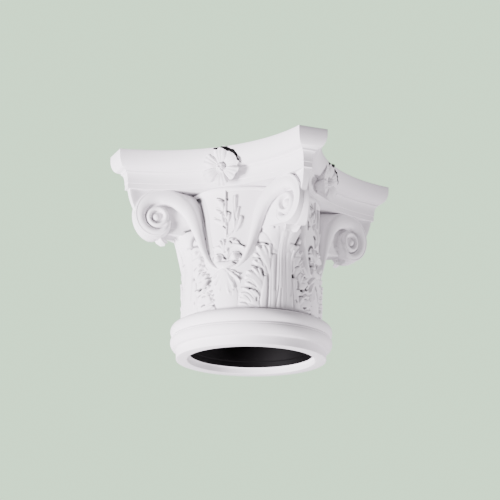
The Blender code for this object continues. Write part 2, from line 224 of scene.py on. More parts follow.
# %% The plan of the abacus
# A corner's reach from the axis, and the length of its cut at the top and at the foot
CORNER_REACH, CORNER_CUT, CORNER_CUT_BELOW = 0.258, 0.052, 0.016
# How far the corners and the sides draw in from the top to the foot
CORNER_SLOPE, SIDE_SLOPE = 0.022, 0.026
ABACUS_STEPS = 56


def abacus_side(slope):
    reach = CORNER_REACH - slope * CORNER_SLOPE
    cut = CORNER_CUT + slope * (CORNER_CUT_BELOW - CORNER_CUT)
    far = (reach * 2 + cut) / (2 * math.sqrt(2))
    near = (reach * 2 - cut) / (2 * math.sqrt(2))
    middle = SIDE_REACH - slope * SIDE_SLOPE
    sag = far - middle
    return near, middle, (near * near + sag * sag) / (2 * sag)


def abacus_outline(slope, height):
    near, middle, bend = abacus_side(slope)
    half_angle = math.asin(near / bend)
    angles = [half_angle * (2 * i / ABACUS_STEPS - 1) for i in range(ABACUS_STEPS + 1)]
    return [quarter_turn(side) @ Vector((bend * math.sin(a),
                                         bend * math.cos(a) - middle - bend, height))
            for side in range(SIDES) for a in angles]


print("corner to corner", round(2 * CORNER_REACH, 3), "m")

# %% Draw the abacus out from its foot to its top
# Each point of the edge: share of the way in from the top's plan to the foot's, and of
# the height
ovolo = [(0.62 * (1 - math.cos(a)), 0.885 - 0.385 * math.sin(a))
         for a in np.radians(np.linspace(0, 90, 11))]
cove = [(0.745 + 0.225 * math.sin(a), 0.165 + 0.265 * math.cos(a))
        for a in np.radians(np.linspace(0, 90, 10))]
edge = [(0.012, 1), (0, 0.99), (0, 0.90), *ovolo, (0.63, 0.492), (0.70, 0.487),
        (0.712, 0.478), (0.715, 0.44), *cove, (0.972, 0.152), (1, 0.145), (1, 0.006),
        (1.012, 0)]
outlines = [abacus_outline(slope, ABACUS_FOOT + share * (HEIGHT - ABACUS_FOOT))
            for slope, share in reversed(edge)]
RECESS_RADIUS, RECESS_ROOF = 0.106, 0.299
for height in (ABACUS_FOOT, RECESS_ROOF):
    flat = [Vector((point.x, point.y)).normalized() * RECESS_RADIUS for point in outlines[-1]]
    outlines.insert(0, [Vector((point.x, point.y, height)) for point in flat])
abacus = drawn_out("abacus", outlines)
pieces.append(abacus)
print("abacus", [round(v, 4) for v in abacus.dimensions], len(abacus.data.polygons), "faces")

# %% [markdown]
# The scrolls stand on a wall that curves like the side of the abacus. A place on it is
# told by how far it is along the side, how high it is and how proud of the wall. Each
# scroll is one band: it rises from the tie as a stem, turns outwards at the top and
# winds into a spiral that tightens to its eye.

# %% The wall of the scrolls
TIE_HEIGHT = 0.138
# The middle of a scroll: along the wall, and height
SCROLL_ALONG, SCROLL_HEIGHT = 0.118, 0.2335
# The wall starts just inside the bell, and what goes back to the axis ends inside it
WALL_MIDDLE = BELL - 0.001
BELL_INSIDE = BELL - 0.004
# Turns after the top of the scroll, then radius and width of the band there in mm
WINDING = ((0, 50, 27), (0.125, 47, 23), (0.25, 42.5, 18.5), (0.375, 40, 17),
           (0.5, 37, 15), (0.55, 33.5, 13), (0.60, 28, 11), (0.65, 23, 9.5),
           (0.70, 19.5, 8.5), (0.75, 17.5, 8), (0.85, 16, 7))
SCROLL_TURNS = 0.8


def between(start, end, value):
    return min(1.0, max(0.0, (value - start) / (end - start)))


def on_wall(along, height, proud):
    middle, bend = abacus_side(1.0)[1:]
    wall_bend = bend + middle - WALL_MIDDLE
    angle = along / wall_bend
    radius = wall_bend - proud
    return Vector((radius * math.sin(angle), radius * math.cos(angle) - middle - bend,
                   height))


# Behind the wall, but short of the corner, where two walls meet
def in_wall(along, height, depth, most=0.85):
    face = on_wall(along, height, 0.0)
    room = most * (-face.y - face.x) / math.sqrt(2)
    return on_wall(along, height, -min(depth, room))


# In front of the wall or behind it
def at_level(along, height, level):
    return on_wall(along, height, level) if level > 0 else in_wall(along, height, -level)


def across_corner(point):
    return Vector((-point.y, -point.x, point.z))


def towards_axis(point, depth):
    flat = math.hypot(point.x, point.y)
    share = min(1.0, max(BELL_INSIDE / flat, 1 - depth / flat))
    return Vector((point.x * share, point.y * share, point.z))


# Radius or width of the band, a mean over a short way so that the table shows no kinks
def winding(turns, column):
    around = np.linspace(turns - 0.04, turns + 0.04, 5)
    table = np.array(WINDING)
    return float(np.interp(around, table[:, 0], table[:, column]).mean()) * MM


def scroll_point(turns, inset=0):
    radius = winding(max(turns, 0), 1) - inset
    angle = math.pi / 2 - 2 * math.pi * turns
    return (SCROLL_ALONG + radius * math.cos(angle), SCROLL_HEIGHT + radius * math.sin(angle))


print("scroll after half a turn:", round(winding(0.5, 1) / MM, 1), "mm")

# %% The line of a band, from its foot round to its eye
STEM_STEPS = 26
SCROLL_STEPS = 56


def bezier(corners, steps):
    points = interpolate_bezier(*[Vector((x, y, 0)) for x, y in corners], steps + 1)
    return [(point.x, point.y) for point in points]


# The stem is two curves with a waist between them. Places: along the wall, and share of
# the height from the tie to the scroll's top
STEM_FOOT, STEM_WAIST = (0.006, 0), (0.045, 0.50)
LOWER_HANDLES = ((0.0315, 0), (0.039, 0.32))
UPPER_HANDLES = ((0.0495, 0.70), (0.063, 1))

top = scroll_point(0)
rise = top[1] - TIE_HEIGHT
foot, low, bend, waist, leaving, arriving = [
    (along, TIE_HEIGHT + rise * share)
    for along, share in (STEM_FOOT, *LOWER_HANDLES, STEM_WAIST, *UPPER_HANDLES)]
lower = bezier((foot, low, bend, waist), STEM_STEPS)
upper = bezier((waist, leaving, arriving, top), STEM_STEPS)
count = round(SCROLL_STEPS * SCROLL_TURNS)
spiral = [scroll_point(SCROLL_TURNS * i / count) for i in range(1, count + 1)]
line = lower + upper[1:] + spiral
print("band line of", len(line), "points")

# %% [markdown]
# Across the stem there is one broad soft swell. On the scroll the face has a thin step
# near its outer edge and falls into a deep channel. The end of the band runs into a ring,
# and a ball lies in the ring, on the side of the corner. Each face is a short table, as a
# carver would cut a template of it.

# %% The faces of the stem, the scroll and the ring
# Share of the band's width from its outer edge, and level there in mm
STEM_FACE = ((0, -9), (0.03, -4.5), (0.09, -0.5), (0.17, 2), (0.28, 3.8), (0.42, 5),
             (0.56, 5.4), (0.68, 5.1), (0.78, 4.3), (0.86, 3.2), (0.92, 1.6), (0.97, -1.5),
             (1, -5))
SCROLL_FACE = ((0, 1.5), (0.02, 3.4), (0.08, 4.2), (0.13, 4.2), (0.155, 3.5), (0.20, 3.8),
               (0.32, 5), (0.48, 5.6), (0.64, 5.2), (0.78, 4), (0.90, 1.8), (0.96, -3),
               (1, -11))
# Share of the stem's length, and its width there in mm
STEM_WIDTH = ((0, 6), (0.12, 8), (0.25, 11), (0.42, 15.5), (0.6, 23), (0.8, 29), (1, 28))
# How far the foot of the stem lies back in the leaves, in mm
STEM_SUNK = 4.5
# Middles of the ring and of the ball: along the wall, and height
BOSS_MIDDLE = (0.1215, 0.2320)
BOSS_RADIUS = 0.0202
BALL_MIDDLE, BALL_RADIUS, BALL_SUNK = (0.1236, 0.2316), 0.0068, 0.0024
# Distance from the middle of the ring, and level there in mm
RING = ((0, -5.5), (8.4, -5.5), (10.2, -3), (11.4, 1.6), (12.6, 4.2), (14.2, 5), (16.2, 4.6),
        (17.8, 3.2), (18.8, 0.6), (19.6, -4), (20.2, -10))


def boss_level(along, height):
    away = math.hypot(along - BOSS_MIDDLE[0], height - BOSS_MIDDLE[1])
    level = float(np.interp(away / MM, *zip(*RING))) * MM
    away = math.hypot(along - BALL_MIDDLE[0], height - BALL_MIDDLE[1])
    return max(level, math.sqrt(max(0.0, BALL_RADIUS ** 2 - away ** 2)) - BALL_SUNK)


print("the ball stands", round(boss_level(*BALL_MIDDLE) / MM, 1), "mm proud of the wall")

# %% Draw out a band
# Turns between which the face changes from the stem's to the scroll's, the band's end
# runs into the ring, and its back leaves the bell for the wall
ROLLING, ENDING, PARTING = (-0.18, 0.06), (0.58, 0.76), (0.0, 0.17)
# Shares of the stem's length between which it comes up out of the leaves
RISING = (0.30, 0.75)
# The band's end lies under the ring, and its back this far behind the wall and the bell
UNDER_RING = 0.0015
BACK_INNER, BACK_OUTER, BACK_OF_STEM = 0.017, 0.013, 0.030


def band_width(i):
    if i >= 2 * STEM_STEPS:
        return winding((i - 2 * STEM_STEPS) / SCROLL_STEPS, 2)
    return float(np.interp(i / (2 * STEM_STEPS), *zip(*STEM_WIDTH))) * MM


def band_section(i):
    turns = (i - 2 * STEM_STEPS) / SCROLL_STEPS
    rolled = between(*ROLLING, turns)
    sunk = STEM_SUNK * (1 - between(*RISING, i / (2 * STEM_STEPS)))
    back = BACK_OF_STEM * (1 - between(*PARTING, turns))
    outer = Vector(line[i])
    forward = Vector(line[min(i + 1, len(line) - 1)]) - Vector(line[max(i - 1, 0)])
    across = Vector((forward.y, -forward.x)).normalized() * band_width(i)
    section = []
    for (stem_share, low), (scroll_share, high) in zip(STEM_FACE, SCROLL_FACE):
        point = outer + across * (stem_share + (scroll_share - stem_share) * rolled)
        level = (low + (high - low) * rolled - sunk) * MM
        under = boss_level(point.x, point.y) - UNDER_RING
        section.append(at_level(*point, level + (under - level) * between(*ENDING, turns)))
    section.append(towards_axis(in_wall(*(outer + across), BACK_INNER, 0.95), back))
    section.append(towards_axis(in_wall(*outer, BACK_OUTER), back))
    return section


band = drawn_out("scroll_right", [band_section(i) for i in range(len(line))])
smooth(band, 40)
left_band = left_hand(band)
on_every_side(band)
on_every_side(left_band)
print("band", len(band.data.polygons), "faces, eight of them")

# %% [markdown]
# Two scrolls meet at each corner with a plain strip between them. The solid behind their
# channels is one block, drawn from the face of one scroll across the corner to the face
# of the other. Its rim follows the scroll's own line, a little inside it.

# %% Corner blocks
# How far the block's rim lies inside the scroll's, and its face behind the wall
CORNER_INSET, CORNER_DEPTH = 0.0008, 0.0115
# The block ends inside the bell, below the scroll's middle
CORNER_HEEL = (0.055, SCROLL_HEIGHT - 0.032)

rim = [scroll_point(turns, CORNER_INSET) for turns in np.linspace(-0.25, 0.56, 50)]
face = [in_wall(*place, CORNER_DEPTH, 0.6) for place in (*rim, CORNER_HEEL)]
block = drawn_out("corner_block", [face, [across_corner(point) for point in face]])
repeated(block, 30)
print("corner block", [round(v / MM) for v in block.dimensions], "mm")

# %% [markdown]
# A thin web joins the strip to the abacus over it. It is widest at the top, and its edge
# curves in as it goes down, so it is drawn out downwards through level sections.

# %% Corner webs
TO_CORNER, ASIDE = Vector((1, -1, 0)).normalized(), Vector((1, 1, 0)).normalized()
WEB_REACH = CORNER_REACH - CORNER_SLOPE - 0.004
WEB_HALF = 0.0067
WEB_TOP, WEB_DROP = ABACUS_FOOT + 0.003, 0.042
WEB_STEPS = 12
# Half of a section: distance behind the edge and share of the half width, then its root
WEB_PLAN = ((0, 0.9), (0.004, 1), (0.010, 0.8), (0.030, 0.9))
WEB_ROOT = (WEB_REACH - 0.080, 0.009)

sections = []
for share in np.linspace(0, 1, WEB_STEPS):
    reach = WEB_REACH - 0.004 * share - 0.010 * share ** 2
    half = WEB_HALF * (1 - 0.25 * share)
    lift = Vector((0, 0, WEB_TOP - WEB_DROP * share))
    one_half = [(reach - behind, half * wide) for behind, wide in WEB_PLAN] + [WEB_ROOT]
    ring = [(r, -s) for r, s in reversed(one_half)] + one_half
    sections.append([TO_CORNER * r + ASIDE * s + lift for r, s in ring])
web = drawn_out("corner_web", sections)
repeated(web, 30)
print("web", round(web.dimensions.z / MM), "mm high")

# %% [markdown]
# The middle of each scroll is a ring with a ball in it. It is drawn out inwards, through
# circles that get smaller and take their levels from the table of the ring.

# %% Rings and balls of the scrolls
BOSS_RINGS = 34
BOSS_SPOKES = 96
BOSS_BACK = 0.016

angles = [2 * math.pi * j / BOSS_SPOKES for j in range(BOSS_SPOKES)]
outlines = []
for i in range(BOSS_RINGS + 1):
    radius = BOSS_RADIUS * (1 - 0.985 * i / BOSS_RINGS)
    places = [(BOSS_MIDDLE[0] + radius * math.cos(a), BOSS_MIDDLE[1] + radius * math.sin(a))
              for a in angles]
    if i == 0:
        outlines.append([in_wall(*place, BOSS_BACK) for place in places])
    outlines.append([at_level(*place, boss_level(*place)) for place in places])
boss = drawn_out("boss_right", outlines)
repeated(boss, 30)
print("ring with its ball", len(boss.data.polygons), "faces")

# %% [markdown]
# Between a stem and its scroll the wall is seen as sunk ground. It is a flat plate set
# back from the faces of both, so that they stand out from it.

# %% Sunk ground
# Plan of the ground: along the wall and height, in mm
GROUND_PLAN = ((50, 217), (53, 226), (58, 238), (68, 250), (84, 259), (104, 259), (108, 245),
               (108, 225), (108, 213), (98, 213), (84, 216), (68, 219))
GROUND_BACK, GROUND_DEPTH = 0.019, 0.0105

ground = drawn_out("ground_right", [
    [in_wall(along * MM, height * MM, depth) for along, height in GROUND_PLAN]
    for depth in (GROUND_BACK, GROUND_DEPTH)])
repeated(ground, 30)
print(len(pieces), "pieces so far")

# %% [markdown]
# The acanthus leaves are carved in low relief. A carver draws each lobe as a fan of
# fingers, cuts down round them and hollows each one with a gouge. The same is done here
# on an unrolled drawing of the bell: every finger is a stroke with a foot, a bend and a
# tip, a width, a height and a gouge. The highest stroke at a place is what one sees.
# Where lobes meet, the ground between them stays deep, as the drilled eyes of the stone.

# %% Strokes and cuts of the carving
# Millimetres to a degree round the bell, at the radius of the carving
ROUND = math.radians(1) * 121
STROKE_STEPS, CUT_STEPS = 28, 16
# A gouge's hollow and the spread of a cut's painted shade, as shares of the half width
HOLLOW, SHADE_SPREAD = 0.42, 1.12


class Relief:
    def __init__(self, low, high, foot, top, pitch):
        across = int((high - low) * ROUND / pitch)
        up = int((top - foot) / pitch)
        angles, heights = np.linspace(low, high, across + 1), np.linspace(foot, top, up + 1)
        self.x, self.z = np.meshgrid(angles * ROUND, heights)
        self.level = np.zeros_like(self.x)
        # How much shade is painted at each point of the drawing
        self.tone = np.zeros_like(self.x)

    # The points near a curve through (degrees, mm) points, their distance from it and how
    # far along it they are
    def near(self, points, reach, steps):
        a, b, c = spots = np.array([(angle * ROUND, height) for angle, height in points])
        lows, highs = spots.min(axis=0) - reach, spots.max(axis=0) + reach
        rows = (self.z[:, 0] > lows[1]) & (self.z[:, 0] < highs[1])
        cols = (self.x[0] > lows[0]) & (self.x[0] < highs[0])
        here = np.ix_(rows, cols)
        x, z = self.x[here], self.z[here]
        t = np.linspace(0, 1, steps + 1)[:, None]
        path = (1 - t) ** 2 * a + 2 * t * (1 - t) * b + t * t * c
        away, along = np.full(x.shape, 1e9), np.zeros(x.shape)
        for i in range(steps):
            start, step = path[i], path[i + 1] - path[i]
            share = ((x - start[0]) * step[0] + (z - start[1]) * step[1]) / (step @ step)
            share = np.clip(share, 0, 1)
            far = np.hypot(x - start[0] - share * step[0], z - start[1] - share * step[1])
            along = np.where(far < away, (i + share) / steps, along)
            away = np.minimum(far, away)
        return here, away, along

    # Half widths and heights along the stroke, and the gouge's share of the height
    def stroke(self, points, widths, lifts, gouge=0.0, blunt=2.5, edge=0.55):
        here, away, along = self.near(points, max(widths) * 1.3 + 2, STROKE_STEPS)
        width = np.interp(along, np.linspace(0, 1, len(widths)), widths)
        lift = np.interp(along, np.linspace(0, 1, len(lifts)), lifts)
        q = away / width
        body = np.clip(1 - q ** blunt, 0, 1) ** edge
        run = np.sin(math.pi * np.clip(along * 1.05, 0, 1)) ** 0.5
        hollowed = 1 - gouge * np.exp(-(q / HOLLOW) ** 2) * run
        self.level[here] = np.maximum(self.level[here], lift * body * hollowed)

    # Lines of a table: what follows the foot is a share of the width and height at the tip
    def strokes(self, table, widths, lifts, both=False, **shape):
        for foot, bend, tip, wide, wider, low, high in table:
            for half in both_halves((foot, bend, tip))[:2 if both else 1]:
                self.stroke(half, (wide, *[wider * share for share in widths]),
                            (low, *[high * share for share in lifts]), **shape)

    # A cut is deep, and shade is painted along it, darkest at its middle, for the shadow in the
    # drilled hollow
    def cut(self, points, width, depth, tone):
        here, away, _ = self.near(points, width * 3, CUT_STEPS)
        self.level[here] -= depth * np.exp(-(away / width) ** 2)
        painted_spot = tone * np.exp(-(away / (width * SHADE_SPREAD)) ** 4)
        self.tone[here] = np.maximum(self.tone[here], painted_spot)

    def cuts(self, table, turned=0):
        for *points, width, depth, tone in table:
            self.cut([(angle - turned, height) for angle, height in points], width, depth, tone)

    def soften(self, times):
        for _ in range(times):
            level = np.pad(self.level, 1, mode="edge")
            self.level = (level[1:-1, 1:-1] * 4 + level[:-2, 1:-1] + level[2:, 1:-1]
                          + level[1:-1, :-2] + level[1:-1, 2:]) / 8


print("one degree round the bell is", round(ROUND, 2), "mm")

# %% [markdown]
# Half of a corner leaf, drawn on the unrolled bell. Each line holds the foot, the bend
# and the tip of one finger, then its half width at foot and tip, and its height at foot
# and tip. The lobes go up in groups, from the foot of the leaf to the curl at its top.

# %% Half a corner leaf
LEAF_AXIS = 46.3
CORNER_TURN = 90


# Lines of text as rows, with each angle,height as a pair and all else as a number
def table(text):
    return [[tuple(map(float, word.split(","))) if "," in word else float(word)
             for word in line.split()]
            for line in text.splitlines() if line and not line.startswith("#")]


FINGERS = table("""
# lowest lobe
27,66 20,69 12.8,72 2.6 3 3.5 6
27.2,66 20.5,78 12.8,81 2.4 2.8 3.8 6.5
27.6,67 22,87 13.6,89.5 2.4 2.8 4 7
28,68 24,93 16,97.5 2.4 3 4 7.5
28.6,70 26.5,90 21.5,95 2.2 3 4 8
29.2,72 28.2,84 25.2,93 2 2.8 4 8
# second lobe
30.5,84 26,101 17.8,107.5 2.4 2.9 4 7
31,86 27.5,109 17.6,118 2.5 3.2 4.2 7.5
31.5,90 28,117 19,127 2.5 3.2 4.2 8
32,95 29.5,123 23,132.5 2.5 3.2 4.4 8.5
32.5,98 31,122 27.7,131.5 2.3 3 4.4 8.5
# small lobe between
33.8,118 31,135 24,145.5 2 2.8 4.4 7.5
34.5,122 32.5,140 27.5,147 2 2.6 4.4 8
# third lobe
35,122 32,147 24.6,158 2.2 3 4.6 7.5
36,125 33.5,154 26.4,170 2.5 3.4 4.8 8.5
37,128 35.5,155 31.2,171 2.4 3.4 4.8 9
37.8,130 37,155 35.6,169 2.2 2.8 4.8 9
# lobes beside the curling tip
41,160 37,178 29.8,187 2.2 3 4.5 6
42,165 37.5,188 31.8,197 2.2 3.2 4.5 6.5
42.5,168 39,194 34.6,205 2.2 3.2 4.5 7
43,170 41.5,194 38.8,207 2.2 3.2 4.5 7
""")
LOBES = table("""
29.5,68 25,78 18,84 4 9 4.5 6.2
32,90 28.5,110 22,119 4 9.5 4.5 7
34.5,122 32,138 27.8,142 3 4.5 4.5 6.6
37,126 35,150 30.5,161 4 8.5 5 7.4
42.5,160 39.5,186 35.2,200 4 11 5 6.4
40.5,150 35.5,174 30,188 4 8 5 7
""")
RIBS = table("""
46.2,194 46.2,130 46.2,62 6.5 15 6.5 6.6
39.6,162 39.8,118 38.6,62 8 10.5 6.4 6.3
33.8,119 33,96 31,62 6 9.5 6.8 6.3
""")
GROUND = (((46.3, 58), (44, 130), (45.5, 216), 32, 13, 4.8, 4.8),)

relief = Relief(LEAF_AXIS + 1 - CORNER_TURN, LEAF_AXIS + 1, 58, 273, 0.85)


# A line of the half leaf at the right corner, and its mirror image at the left corner
def both_halves(line):
    left_axis = LEAF_AXIS - CORNER_TURN
    return line, [(2 * left_axis - (angle - CORNER_TURN), height) for angle, height in line]


relief.strokes(GROUND, (1,), (1,), both=True, blunt=8)
relief.strokes(LOBES, (1, 1), (1, 1), both=True, blunt=4)
relief.strokes(FINGERS, (1.25, 1.15, 0.75), (0.85, 1, 1), both=True, gouge=0.14, blunt=2.2)
relief.strokes(RIBS, (1,), (1,), both=True, blunt=4, edge=1)
print("leaf drawn on", relief.level.shape, "points")

# %% [markdown]
# In the middle of each side a low leaf hangs from the tie like a small fold of cloth,
# and above the tie a plant climbs to the flower: two curled buds, a pair of broad
# leaves, and slender leaflets on a thin stalk.

# %% The middle of a side
LOW_LEAF = table("""
0.8,134 6,129 12,123.5 1.6 2.6 5 6
0.8,134 6,124 12.2,114 1.8 3 5 6.2
0.6,134 4,118 7.8,101 1.8 3.4 5 5.8
0.2,134 0.8,112 3.6,92 2 3.4 5 5.2
-0.4,134 -3,115 -4.5,96 2.2 4 5 4.6
-0.6,134 -5,122 -9.5,108 2.2 4 5 4.6
-0.8,135 -6,130 -11,121 2 3.4 5 4.6
""")
PLANT = table("""
# stalk
-0.6,284 -0.7,262 -0.2,236 2.2 1.8 5 4
-0.2,238 0.6,216 0.4,190 1.8 2 4 3.6
# tall leaflets on the right
8,199 6.6,232 8.2,263 1.8 3.4 2.6 5.4
8.2,200 9.4,224 11.2,242 1.4 2.6 2.4 4.8
9,200 12.5,212 13,225 1.6 3.2 2.4 5.2
1,192 5,196 8.4,206 1.6 1.2 3 2.6
# leaflets on the left
-1.2,236 -3,251 -7,256 2 4.2 3 5
-1.6,226 -5.5,236 -9.4,240 1.6 3.2 2.4 3.8
-2,212 -6.5,221 -10.8,223 1.6 3.4 2.4 4
-0.4,206 -3,214 -3.6,230 1.6 2.8 2.6 4.8
0.4,214 2.2,222 2.8,229 1.6 3.2 3 5.2
0,200 -0.6,208 -0.4,216 1.8 2.6 3 5.4
# broad leaves over the buds
1,166 5,182 15.2,170 2 2.4 4 6.4
1.6,168 6,188 12,178 1.8 2 4 6.4
1,168 2.4,182 6.6,185 1.8 2.4 4 6.2
0.2,168 0.6,180 3,181.5 1.6 1.8 4 6
-0.8,166 -1.4,180 -1.6,185.5 1.6 2 4 5.4
-1.2,166 -4,180 -5.6,184 1.8 2.2 4 5
-1.6,164 -6,178 -11.6,173 2 2.4 4 4.6
# hoods round the buds
2,152 3,163 8.4,162.2 1.7 1.5 4.6 6.6
8.4,162.2 14.6,163 12.4,151 1.5 1.2 6.6 5
-1.6,152 -2,162 -7.4,161 1.8 1.6 4.6 6
-7.4,161 -13,161 -12,151 1.6 1.2 6 4.4
1.8,146 5,142 10,146 2 1.6 5.6 5.2
-1.8,146 -5,142 -9,146 2 1.6 5.6 5.2
""")
BUDS = ((8.2, 154, 6.5, 8.6), (-6.6, 152.5, 6.5, 7.8))

relief.stroke(((0, 62), (0, 90), (0, 128)), (23, 24, 10), (1.2, 3.4, 4.6), blunt=3, edge=0.8)
relief.strokes(LOW_LEAF, (1, 0.8), (1,), gouge=0.22)
relief.strokes(PLANT, (1, 1, 0.6), (1,), gouge=0.18)
for angle, height, size, lift in BUDS:
    relief.stroke(((angle, height - 0.3), (angle, height), (angle, height + 0.3)),
                  (size, size), (lift, lift), blunt=2, edge=0.7)
relief.stroke(((-6.5, 144), (0, 137.5), (6.5, 144)), (5.5, 6.5, 5.5), (6.4, 7, 6.4), blunt=3)
relief.soften(2)
print("highest carving", round(float(relief.level.max()), 1), "mm")

# %% [markdown]
# Last come the drill and the fine chisel. Round holes are drilled where lobes meet and at
# the ends of the curls, and lines are cut along the edges that stand clear of the ground.
# Shade is painted along each cut as well: the shadow that falls into the drilled eyes and
# along the cut edges. Where a line is hardly cut at all, it is the painted shadow of a stem,
# a curl or a rib on the bell. Each cut has three points, a half width, a depth in
# millimetres and how much shade is painted on it. The half of a corner leaf that lies on
# the next side has marks of its own. They are measured from this side's front too, so
# they are turned back by a quarter.

# %% Drilled eyes and chiselled lines
LEAF_CUTS = table("""
13.5,100.5 18,101.8 20.5,98.5 1.1 2 0.5
20.3,98.3 20.7,98 21.2,97 1.7 4 0.95
22.5,99.5 25.5,98 26.4,92 1.5 2.2 0.5
17,113 22,115.5 26,101 1.1 1.4 0.35
16.5,122 18.5,123.5 20.5,120.5 1 1 0.15
22,138.8 24,138 26.5,136.4 1.4 3.2 0.8
26.3,137 29.8,137 31,127 1.9 2.4 0.42
30.6,126 31,124 31.3,122 1.5 3 0.6
30.8,122 31.2,120 33.8,120.3 1.1 2 0.5
22.8,151.8 26,152 28.6,150.2 1 2 0.6
27.7,150.6 28.4,150.2 29,149.8 1.5 3.4 0.85
28.8,148 30.5,144 31.5,137 1.6 1.2 0.18
24.5,179 29.5,179 33.4,175.8 1.4 2.6 0.75
33.4,176.2 34,175.6 34.8,175 1.8 4 0.95
34.8,175 37,176.5 38.3,174 1.3 1.6 0.45
24.6,178 23.7,174 22.6,166 1.8 3 0.85
37.8,175 37.2,165 38.4,159 2 1 0.25
37.3,159.8 39,158.4 41,160 1.2 1.6 0.5
29.5,208 33,212.5 37.4,206 2 2.4 0.55
37.2,206.5 37.8,205 38.2,201 1.8 2.6 0.55
47.5,187 47,130 47.8,105 1 0.9 0.16
47.8,105 48.4,90 50.4,64 1.3 1.3 0.32
44.6,178 44.9,130 44.3,105 0.9 0.7 0.06
44.3,105 43.6,88 41.8,64 1.1 1.1 0.16
46.2,100 46,84 46,64 1 0.9 0.14
41.9,158 41.6,128 41.4,98 2.2 1 0.16
34.9,120 35.7,95 35.2,66 1.5 1.5 0.30
37.6,150 38.4,120 37.6,66 1.6 0.7 0.08
26.8,82 26.4,80 26.6,77 1.6 2 0.4
28.8,82 28.4,76 29.2,66 1.2 1.4 0.25
13.5,87 18.5,89 22,74 1 1.2 0.18
13.5,75.5 17,75 20,68 1 1.2 0.18
13.2,94.5 18.5,96 24,80 0.9 1 0.14
""")
FAR_HALF_CUTS = table("""
54.5,205 59,209 62.5,213 2.2 4 0.9
62.5,200 59.5,192 58,180 2.2 5 0.72
57.5,180 60,182 64.5,181 1.8 3.4 0.7
53,180 55.5,181 58,180 1.3 1.6 0.35
57.2,127 57.5,125 57.6,123.5 2.1 4 0.95
67,162 68,155 67.8,150 1.7 2.2 0.5
66,162 67,163 68.5,161.5 1.4 2 0.6
67.8,150 69.4,142 72,137.5 1.3 1.6 0.38
59,140.5 60.5,144 62.5,144 1.2 1.8 0.5
64.8,137.5 66,139 68,138.4 1.2 1.8 0.5
60.8,103.6 62.2,105 64,104 1.1 2 0.75
65.2,102.6 66.2,103.2 67.2,103.6 2 4.4 0.97
67.5,104.5 70,105.5 72,105 1 1.4 0.35
72.4,106 73.6,113.5 76,116 2.2 4 0.9
73,120.5 75,123 77.4,122.6 1.4 2.4 0.7
66,116 67.2,117.5 68.5,116.6 1.1 1.2 0.3
69.6,89 70.8,90.6 72,90 1.2 2 0.6
68.3,73.2 70,75.2 71.8,75 1.3 2.4 0.8
59.6,84.5 60,83 60.4,81.5 1.5 2 0.4
74.2,100 76.6,93 79.8,74 1.1 1.6 0.35
79.8,74 80.6,70 81.8,65 1.9 3 0.7
57.5,159 62,160.5 66,162 1.2 1.2 0.22
63,192 66,196 69,193 1.8 3 0.7
69.5,178 70.5,172 70,166 1.9 3 0.75
72,150 74,154 76.5,151 1.6 2.6 0.7
70,128 71.5,131 73.5,129 1.6 2.6 0.7
61.5,117 62.5,112 62,107 1.4 2 0.5
64,92 65.2,94 67,92.6 1.5 2.2 0.6
56.5,150 55.8,120 54.6,90 1.4 1 0.15
""")
